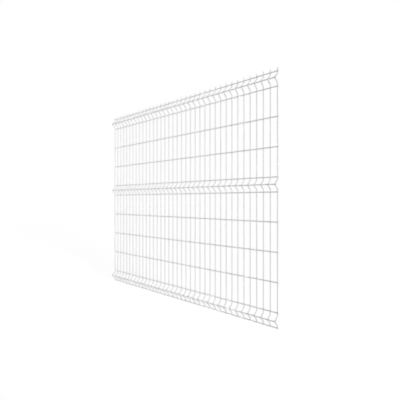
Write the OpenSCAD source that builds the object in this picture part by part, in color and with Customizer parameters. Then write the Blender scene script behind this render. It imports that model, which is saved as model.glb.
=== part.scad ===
// Welded mesh fence panel with three V-folds, in millimetres.
// X runs along the fence, Y through it, Z up. The folds push out towards -Y.
// The origin is the cut foot of the middle vertical wire.

/* [Mesh] */
// overall width, between the cut ends of the horizontal wires
panel_width = 1988; // [300:1:2600]
// distance between the vertical wires, of which the panel gets as many as fit
vertical_pitch = 55; // [40:1:120]
// distance between the horizontal wires of a flat field
row_step = 200; // [80:5:300]
// open rows between the bottom and the middle fold
lower_rows = 4; // [2:1:8]
// open rows between the middle and the top fold
upper_rows = 3; // [2:1:8]

/* [Wire] */
// thickness of the vertical wires
upright_d = 5; // [4:0.5:6]
// thickness of the horizontal wires
cross_d = 5; // [4:0.5:6]
// how far the resistance welds sink one wire into the other
weld_sink = 0.8; // [0.3:0.1:1.5]
// least cross wire past the centre of the last vertical wire
side_overhang = 4; // [4:1:40]
// vertical wire below the centre of the bottom wire
foot_overhang = 4; // [4:1:40]
// bare spike above the centre of the top wire
spike = 20; // [4:1:60]

/* [Folds] */
// height from the lower to the upper wire of a fold
fold_height = 100; // [80:5:200]
// height of the V between its two outer corners
vee_height = 64; // [40:2:84]
// depth of the V to the corner of its crest, before rounding
vee_depth = 34; // [15:1:50]
// radius of every bend, to the middle of the wire
bend_r = 8; // [6:0.5:14]

/* [Hidden] */
$fn = 48;
coat = [0.87, 0.87, 0.86];

// A bend is drawn a hair thicker than the wire and laps over its end, so that the two join cleanly.
bend_extra = 0.1;
bend_lap = 0.2;
// flat wire that each fold keeps beyond its outer cross wires
fold_margin = 20;

upright_r = upright_d / 2;
cross_r = cross_d / 2;
cross_y = upright_r + cross_r - weld_sink;
flank_angle = atan2(vee_depth, vee_height / 2);
crest_rounding = bend_r * (1 / cos(flank_angle) - 1);
crest_y = -vee_depth + crest_rounding + cross_y;

bottom_z = foot_overhang;
bottom_top_z = bottom_z + fold_height;
middle_z = bottom_top_z + lower_rows * row_step;
middle_top_z = middle_z + fold_height;
top_z = middle_top_z + upper_rows * row_step;
top_top_z = top_z + fold_height;
tip_z = top_top_z + spike;

// The slack keeps a pitch that fits exactly from being lost to rounding.
fit_slack = 0.001;
vertical_gaps = floor((panel_width - 2 * side_overhang) / vertical_pitch + fit_slack);
mesh_width = vertical_gaps * vertical_pitch;

// unit vector in the plane of one bent wire
function unit(v) = v / norm(v);
// signed angle from one direction of that plane to the next
function turning(a, b) = atan2(a[0] * b[1] - a[1] * b[0], a * b);

// straight wire between two points of the plane
module rod(from, to, d) {
    run = to - from;
    translate([from[0], from[1], 0])
        rotate([0, 0, atan2(run[1], run[0])])
            rotate([0, 90, 0])
                cylinder(h = norm(run), d = d);
}

// rounded bend that replaces the corner between two directions
module bend(corner, dir_in, dir_out, r, d) {
    angle = turning(dir_in, dir_out);
    start = corner - dir_in * r * tan(abs(angle) / 2);
    centre = start + sign(angle) * r * [-dir_in[1], dir_in[0]];
    spoke = start - centre;
    first = atan2(spoke[1], spoke[0]) - (angle < 0 ? abs(angle) : 0);
    translate([centre[0], centre[1], 0])
        rotate([0, 0, first])
            rotate_extrude(angle = abs(angle))
                translate([r, 0])
                    circle(d = d);
}

// wire that follows a line of points, with a bend at every inner point
module bent_wire(points, r, d) {
    last = len(points) - 1;
    dirs = [for (i = [0 : last - 1]) unit(points[i + 1] - points[i])];
    cuts = [
        for (i = [0 : last])
            (i == 0 || i == last) ? 0 : r * tan(abs(turning(dirs[i - 1], dirs[i])) / 2) - bend_lap
    ];
    for (i = [0 : last - 1])
        rod(points[i] + dirs[i] * cuts[i], points[i + 1] - dirs[i] * cuts[i + 1], d);
    if (last > 1)
        for (i = [1 : last - 1])
            bend(points[i], dirs[i - 1], dirs[i], r, d + bend_extra);
}

// turns the plane of a bent wire upright: its first axis becomes Y and its second Z
module stand_up() {
    rotate([90, 0, 90]) children();
}

// one copy of a bent wire at each place along the fence
module uprights(points) {
    for (i = [0 : vertical_gaps])
        translate([i * vertical_pitch - mesh_width / 2, 0, 0])
            stand_up()
                bent_wire(points, bend_r, upright_d);
}

// one horizontal wire behind the uprights
module cross_wire(z, y = cross_y) {
    translate([-panel_width / 2, y, z])
        rotate([0, 90, 0])
            cylinder(h = panel_width, d = cross_d);
}

// the three corners of a V whose lower cross wire is at z
function vee(z) = [
    [0, z + (fold_height - vee_height) / 2],
    [-vee_depth, z + fold_height / 2],
    [0, z + (fold_height + vee_height) / 2]
];

// a fold: bent uprights from low to high, with cross wires below, inside and above the V
module fold_band(z, low, high) {
    color(coat) {
        uprights(concat([[0, low]], vee(z), [[0, high]]));
        cross_wire(z);
        cross_wire(z + fold_height / 2, crest_y);
        cross_wire(z + fold_height);
    }
}

// a flat field: straight uprights from low to high, with cross wires between its open rows
module flat_band(z, rows, low, high) {
    color(coat) {
        uprights([[0, low], [0, high]]);
        for (i = [1 : rows - 1])
            cross_wire(z + i * row_step);
    }
}

module bottom_fold() {
    fold_band(bottom_z, 0, bottom_top_z + fold_margin);
}

module lower_mesh() {
    flat_band(bottom_top_z, lower_rows, bottom_top_z + fold_margin, middle_z - fold_margin);
}

module middle_fold() {
    fold_band(middle_z, middle_z - fold_margin, middle_top_z + fold_margin);
}

module upper_mesh() {
    flat_band(middle_top_z, upper_rows, middle_top_z + fold_margin, top_z - fold_margin);
}

module top_fold() {
    fold_band(top_z, top_z - fold_margin, tip_z);
}

bottom_fold();
lower_mesh();
middle_fold();
upper_mesh();
top_fold();
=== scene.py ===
import bpy
import math
import random
from mathutils import Matrix, Vector


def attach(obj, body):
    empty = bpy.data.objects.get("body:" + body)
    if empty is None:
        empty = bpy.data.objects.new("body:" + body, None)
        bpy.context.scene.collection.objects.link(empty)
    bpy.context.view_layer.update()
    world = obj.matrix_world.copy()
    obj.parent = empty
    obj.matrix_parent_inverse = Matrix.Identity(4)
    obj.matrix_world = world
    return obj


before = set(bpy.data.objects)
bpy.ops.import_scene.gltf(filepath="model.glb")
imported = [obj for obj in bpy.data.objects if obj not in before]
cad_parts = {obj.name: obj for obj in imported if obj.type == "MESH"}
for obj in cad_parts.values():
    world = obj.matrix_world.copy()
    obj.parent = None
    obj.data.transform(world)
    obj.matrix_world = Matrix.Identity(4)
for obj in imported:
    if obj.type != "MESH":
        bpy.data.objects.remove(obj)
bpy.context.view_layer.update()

# Sizes of the real panel, in metres, the same as in the solids
VERTICALS = 37
PITCH = 0.055
WIRE_R = 0.0025
WELD_SINK = 0.0008
CROSS_Y = 2 * WIRE_R - WELD_SINK
SIDE_OVERHANG = 0.004
FOOT = 0.004
ROW = 0.2
FOLD = 0.1
VEE_HEIGHT = 0.064
VEE_DEPTH = 0.034
BEND_R = 0.008
SPIKE = 0.02
LOWER_ROWS = 4
UPPER_ROWS = 3

BOTTOM_Z = FOOT
MIDDLE_Z = BOTTOM_Z + FOLD + LOWER_ROWS * ROW
TOP_Z = MIDDLE_Z + FOLD + UPPER_ROWS * ROW
TIP_Z = TOP_Z + FOLD + SPIKE
FLANK = math.atan2(VEE_DEPTH, VEE_HEIGHT / 2)
CREST_Y = -VEE_DEPTH + BEND_R * (1 / math.cos(FLANK) - 1)
HALF_MESH = (VERTICALS - 1) / 2 * PITCH

# The photograph's view: a level camera beside the panel, looking across it
VIEW_TURN = math.radians(44.40)
FOCAL_PX = 341.7
IMAGE_PX = 400
SENSOR_MM = 36.0
CAMERA_AT = (2.2003, -1.9660, 0.8482)
HORIZON_SHIFT = 0.39 / IMAGE_PX
# Width of the filter over a pixel, which gives the thin wires the softness they have in the photograph
PIXEL_FILTER = 2.0

# Soft studio light: a key from the right that rakes along the fence, weaker lamps behind and on the left, and
# an even fill. Each lamp has the direction that it shines from, and its strength.
LAMPS = {
    "key": ((0.91, -0.22, 0.11), 2.15),
    "back": ((-0.62, 0.75, 0.08), 1.5),
    "side": ((-0.90, -0.30, 0.08), 0.85),
}
LAMP_ANGLE = 10
FILL = 0.018

FLOOR_HALF = 30
FLOOR_TONE = 0.52
# What the camera sees of the lit floor: a trace under white, so that its shadow still shows
FLOOR_WHITE = 0.9985

# Satin white powder coat: its colour, and how far, how often and how finely its tone varies
COAT = (0.87, 0.87, 0.86)
TONE_SPREAD = 0.03
TONE_SCALE = 9
TONE_DETAIL = 3
# Its orange-peel surface
PEEL_SCALE = 620
PEEL_DETAIL = 2
PEEL_STRENGTH = 0.7
PEEL_DEPTH = 0.00012
ROUGHNESS = (0.32, 0.44)
# The colour sockets of a mix node, which share their names with its other sockets
MIX_A = 6
MIX_B = 7
MIX_RESULT = 2

# Fillet of metal and coating that fills the corner around a weld. Its half sizes along X and Z are given
# where it leaves the upright, at its waist, and where it meets the cross wire.
ON_UPRIGHT = (0.00215, 0.00305)
WAIST = (0.00222, 0.00222)
ON_CROSS = (0.00305, 0.00215)
# The same on the crest of a fold, where the upright bends around the cross wire
CREST_WAIST = (0.00222, 0.00236)
CREST_ON_CROSS = (0.00305, 0.00240)
# Power by which its sides widen from the waist, and how far its rims run into the two wires
FILLET_CURVE = 1.9
FILLET_SINK = 0.00006
FILLET_AROUND = 20
FILLET_RINGS = 7
# No two fillets are the same size, and two sets of waves run around each: their number and their height
FILLET_SWELL = (0.97, 1.02)
FILLET_WAVES = ((2, 0.02), (3, 0.015))

# Coating that rounds the cut end of a wire. It stays nearly as wide as the wire for most of its height.
CAP_HEIGHT = 0.0005
CAP_R = 0.00252
CAP_FULLNESS = 0.5
CAP_AROUND = 16
CAP_RINGS = 3


def upright_places():
    """The x of every upright."""
    return [i * PITCH - HALF_MESH for i in range(VERTICALS)]


def band_wires():
    """For each band, the y of the uprights and the height at every cross wire."""
    wires = {}
    for name, z in (("bottom_fold", BOTTOM_Z), ("middle_fold", MIDDLE_Z), ("top_fold", TOP_Z)):
        wires[name] = [(0.0, z), (CREST_Y, z + FOLD / 2), (0.0, z + FOLD)]
    wires["lower_mesh"] = [(0.0, BOTTOM_Z + FOLD + k * ROW) for k in range(1, LOWER_ROWS)]
    wires["upper_mesh"] = [(0.0, MIDDLE_Z + FOLD + k * ROW) for k in range(1, UPPER_ROWS)]
    return wires


def within_wire(offset):
    """The nearest offset from a wire's middle that still lies on the wire."""
    return min(max(offset, -WIRE_R), WIRE_R)


def upright_back(x, z, bent):
    """How far the surface of an upright reaches towards the cross wire, from the middle of the upright."""
    bulge = math.sqrt(WIRE_R ** 2 - x ** 2)
    if not bent:
        return bulge
    return BEND_R - math.sqrt((BEND_R - bulge) ** 2 - z ** 2)


def cross_front(z):
    """Where the surface of the cross wire starts, from the middle of the upright."""
    return CROSS_Y - math.sqrt(WIRE_R ** 2 - z ** 2)


def fillet_shape(dice, bent):
    """A hollow-sided ring around the place where a cross wire is welded to an upright."""
    waist = CREST_WAIST if bent else WAIST
    on_cross = CREST_ON_CROSS if bent else ON_CROSS
    swell = dice.uniform(*FILLET_SWELL)
    waves = [(count, height, dice.uniform(0, 2 * math.pi)) for count, height in FILLET_WAVES]
    points = []
    faces = []
    for ring in range(FILLET_RINGS):
        u = 2 * ring / (FILLET_RINGS - 1) - 1
        edge = ON_UPRIGHT if u < 0 else on_cross
        share = abs(u) ** FILLET_CURVE
        half_x = waist[0] + (edge[0] - waist[0]) * share
        half_z = waist[1] + (edge[1] - waist[1]) * share
        climb = (1 - math.cos(math.pi * (u + 1) / 2)) / 2
        for step in range(FILLET_AROUND):
            turn = 2 * math.pi * step / FILLET_AROUND
            ripple = sum(height * math.sin(count * turn + start) for count, height, start in waves)
            lump = swell * (1 + ripple)
            x = half_x * lump * math.cos(turn)
            z = half_z * lump * math.sin(turn)
            low = upright_back(within_wire(x), z, bent) - FILLET_SINK
            high = cross_front(within_wire(z)) + FILLET_SINK
            points.append(Vector((x, low + (high - low) * climb, z)))
    for ring in range(FILLET_RINGS - 1):
        for step in range(FILLET_AROUND):
            a = ring * FILLET_AROUND + step
            b = ring * FILLET_AROUND + (step + 1) % FILLET_AROUND
            faces.append((a, a + FILLET_AROUND, b + FILLET_AROUND, b))
    inside = len(points)
    points.append(Vector((0, 0, 0)))
    points.append(Vector((0, CROSS_Y, 0)))
    last = (FILLET_RINGS - 1) * FILLET_AROUND
    for step in range(FILLET_AROUND):
        after = (step + 1) % FILLET_AROUND
        faces.append((inside, step, after))
        faces.append((inside + 1, last + after, last + step))
    return points, faces


def cap_shape():
    """A shallow dome with its flat side on the wire's cut end and its top along +Z."""
    points = []
    faces = []
    for ring in range(CAP_RINGS + 1):
        lift = math.pi / 2 * ring / (CAP_RINGS + 1)
        for step in range(CAP_AROUND):
            turn = 2 * math.pi * step / CAP_AROUND
            r = CAP_R * math.cos(lift) ** CAP_FULLNESS
            points.append(Vector((r * math.cos(turn), r * math.sin(turn), CAP_HEIGHT * math.sin(lift))))
    for ring in range(CAP_RINGS):
        for step in range(CAP_AROUND):
            a = ring * CAP_AROUND + step
            b = ring * CAP_AROUND + (step + 1) % CAP_AROUND
            faces.append((a, b, b + CAP_AROUND, a + CAP_AROUND))
    top = len(points)
    points.append(Vector((0, 0, CAP_HEIGHT)))
    last = CAP_RINGS * CAP_AROUND
    for step in range(CAP_AROUND):
        faces.append((last + step, last + (step + 1) % CAP_AROUND, top))
    faces.append(tuple(reversed(range(CAP_AROUND))))
    return points, faces


def joined_mesh(name, copies):
    """One mesh from many placed copies of small shapes."""
    points = []
    faces = []
    for (shape_points, shape_faces), place in copies:
        start = len(points)
        points += [place @ point for point in shape_points]
        faces += [tuple(start + corner for corner in face) for face in shape_faces]
    mesh = bpy.data.meshes.new(name)
    mesh.from_pydata([tuple(point) for point in points], [], faces)
    mesh.update()
    for face in mesh.polygons:
        face.use_smooth = True
    obj = bpy.data.objects.new(name, mesh)
    bpy.context.scene.collection.objects.link(obj)
    return obj


def band_details(name, wires, coat):
    """The weld fillets of one band, and the coated ends of its cut wires."""
    dice = random.Random(name)
    cap = cap_shape()
    up = Matrix.Identity(4)
    down = Matrix.Rotation(math.pi, 4, "X")
    right = Matrix.Rotation(math.pi / 2, 4, "Y")
    left = Matrix.Rotation(-math.pi / 2, 4, "Y")
    copies = []
    for y, z in wires:
        for x in upright_places():
            copies.append((fillet_shape(dice, bent=y < 0), Matrix.Translation((x, y, z))))
        end = HALF_MESH + SIDE_OVERHANG
        copies.append((cap, Matrix.Translation((end, y + CROSS_Y, z)) @ right))
        copies.append((cap, Matrix.Translation((-end, y + CROSS_Y, z)) @ left))
    for x in upright_places():
        if name == "top_fold":
            copies.append((cap, Matrix.Translation((x, 0, TIP_Z)) @ up))
        if name == "bottom_fold":
            copies.append((cap, Matrix.Translation((x, 0, 0)) @ down))
    obj = joined_mesh(name + "_welds", copies)
    obj.data.materials.append(coat)
    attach(obj, "root")


def make_camera():
    """The photograph's camera, level and turned towards the panel."""
    data = bpy.data.cameras.new("camera")
    data.sensor_width = SENSOR_MM
    data.lens = FOCAL_PX * SENSOR_MM / IMAGE_PX
    data.shift_y = HORIZON_SHIFT
    camera = bpy.data.objects.new("camera", data)
    camera.location = CAMERA_AT
    camera.rotation_euler = (math.radians(90), 0, VIEW_TURN)
    bpy.context.scene.collection.objects.link(camera)
    bpy.context.scene.camera = camera


def new_material(name):
    """A new material, with its nodes and links."""
    mat = bpy.data.materials.new(name)
    mat.use_nodes = True
    return mat, mat.node_tree.nodes, mat.node_tree.links


def coat_tone(share):
    """The coat's colour, made darker or lighter by a share."""
    return tuple(min(1, channel * share) for channel in COAT) + (1,)


def coat_material():
    """Satin white powder coat: a fine orange-peel surface and a faint unevenness of tone."""
    mat, nodes, links = new_material("white_powder_coat")
    shader = nodes["Principled BSDF"]
    place = nodes.new("ShaderNodeTexCoord")
    cloud = nodes.new("ShaderNodeTexNoise")
    cloud.inputs["Scale"].default_value = TONE_SCALE
    cloud.inputs["Detail"].default_value = TONE_DETAIL
    tone = nodes.new("ShaderNodeMix")
    tone.data_type = "RGBA"
    tone.inputs[MIX_A].default_value = coat_tone(1 - TONE_SPREAD)
    tone.inputs[MIX_B].default_value = coat_tone(1 + TONE_SPREAD)
    peel = nodes.new("ShaderNodeTexNoise")
    peel.inputs["Scale"].default_value = PEEL_SCALE
    peel.inputs["Detail"].default_value = PEEL_DETAIL
    gloss = nodes.new("ShaderNodeMapRange")
    gloss.inputs["To Min"].default_value = ROUGHNESS[0]
    gloss.inputs["To Max"].default_value = ROUGHNESS[1]
    bump = nodes.new("ShaderNodeBump")
    bump.inputs["Strength"].default_value = PEEL_STRENGTH
    bump.inputs["Distance"].default_value = PEEL_DEPTH
    links.new(place.outputs["Object"], cloud.inputs["Vector"])
    links.new(place.outputs["Object"], peel.inputs["Vector"])
    links.new(cloud.outputs["Fac"], tone.inputs["Factor"])
    links.new(tone.outputs[MIX_RESULT], shader.inputs["Base Color"])
    links.new(peel.outputs["Fac"], gloss.inputs["Value"])
    links.new(gloss.outputs["Result"], shader.inputs["Roughness"])
    links.new(peel.outputs["Fac"], bump.inputs["Height"])
    links.new(bump.outputs["Normal"], shader.inputs["Normal"])
    return mat


def make_world():
    """A white background for the camera, and a weak even light for everything else."""
    world = bpy.data.worlds.new("studio")
    world.use_nodes = True
    tree = world.node_tree
    tree.nodes.clear()
    out = tree.nodes.new("ShaderNodeOutputWorld")
    seen = tree.nodes.new("ShaderNodeBackground")
    seen.inputs["Strength"].default_value = 1.0
    seen.inputs["Color"].default_value = (1, 1, 1, 1)
    light = tree.nodes.new("ShaderNodeBackground")
    light.inputs["Color"].default_value = (1, 1, 1, 1)
    light.inputs["Strength"].default_value = FILL
    path = tree.nodes.new("ShaderNodeLightPath")
    mix = tree.nodes.new("ShaderNodeMixShader")
    tree.links.new(path.outputs["Is Camera Ray"], mix.inputs[0])
    tree.links.new(light.outputs[0], mix.inputs[1])
    tree.links.new(seen.outputs[0], mix.inputs[2])
    tree.links.new(mix.outputs[0], out.inputs[0])
    bpy.context.scene.world = world


def make_lamps():
    """Far, broad lamps, so that both ends of the panel get the same light."""
    for name, (source, strength) in LAMPS.items():
        data = bpy.data.lights.new(name, "SUN")
        data.angle = math.radians(LAMP_ANGLE)
        data.energy = strength
        lamp = bpy.data.objects.new(name, data)
        lamp.rotation_euler = Vector(source).to_track_quat("Z", "Y").to_euler()
        bpy.context.scene.collection.objects.link(lamp)


def floor_light():
    """Light that reaches the open floor from the lamps and the fill."""
    light = FILL
    for source, strength in LAMPS.values():
        light += strength * Vector(source).normalized().z / math.pi
    return light


def floor_material():
    """Pale floor that looks white to the camera, apart from the shadow on it."""
    mat, nodes, links = new_material("pale_floor")
    nodes.clear()
    out = nodes.new("ShaderNodeOutputMaterial")
    plain = nodes.new("ShaderNodeBsdfDiffuse")
    plain.inputs["Color"].default_value = (FLOOR_TONE, FLOOR_TONE, FLOOR_TONE, 1)
    glow = nodes.new("ShaderNodeEmission")
    glow.inputs["Strength"].default_value = FLOOR_WHITE - FLOOR_TONE * floor_light()
    both = nodes.new("ShaderNodeAddShader")
    path = nodes.new("ShaderNodeLightPath")
    mix = nodes.new("ShaderNodeMixShader")
    links.new(plain.outputs[0], both.inputs[0])
    links.new(glow.outputs[0], both.inputs[1])
    links.new(path.outputs["Is Camera Ray"], mix.inputs[0])
    links.new(plain.outputs[0], mix.inputs[1])
    links.new(both.outputs[0], mix.inputs[2])
    links.new(mix.outputs[0], out.inputs["Surface"])
    return mat


def make_floor():
    """A plain floor that the coated feet of the wires stand on."""
    half = FLOOR_HALF
    corners = [(-half, -half), (half, -half), (half, half), (-half, half)]
    mesh = bpy.data.meshes.new("floor")
    mesh.from_pydata([(x, y, -CAP_HEIGHT) for x, y in corners], [], [(0, 1, 2, 3)])
    floor = bpy.data.objects.new("floor", mesh)
    bpy.context.scene.collection.objects.link(floor)
    floor.data.materials.append(floor_material())


bpy.context.scene.view_settings.view_transform = "Standard"
bpy.context.scene.cycles.filter_width = PIXEL_FILTER
make_camera()
make_world()
make_lamps()
make_floor()

coat = coat_material()
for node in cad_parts.values():
    for slot in node.material_slots:
        slot.material = coat
for name, wires in band_wires().items():
    band_details(name, wires, coat)
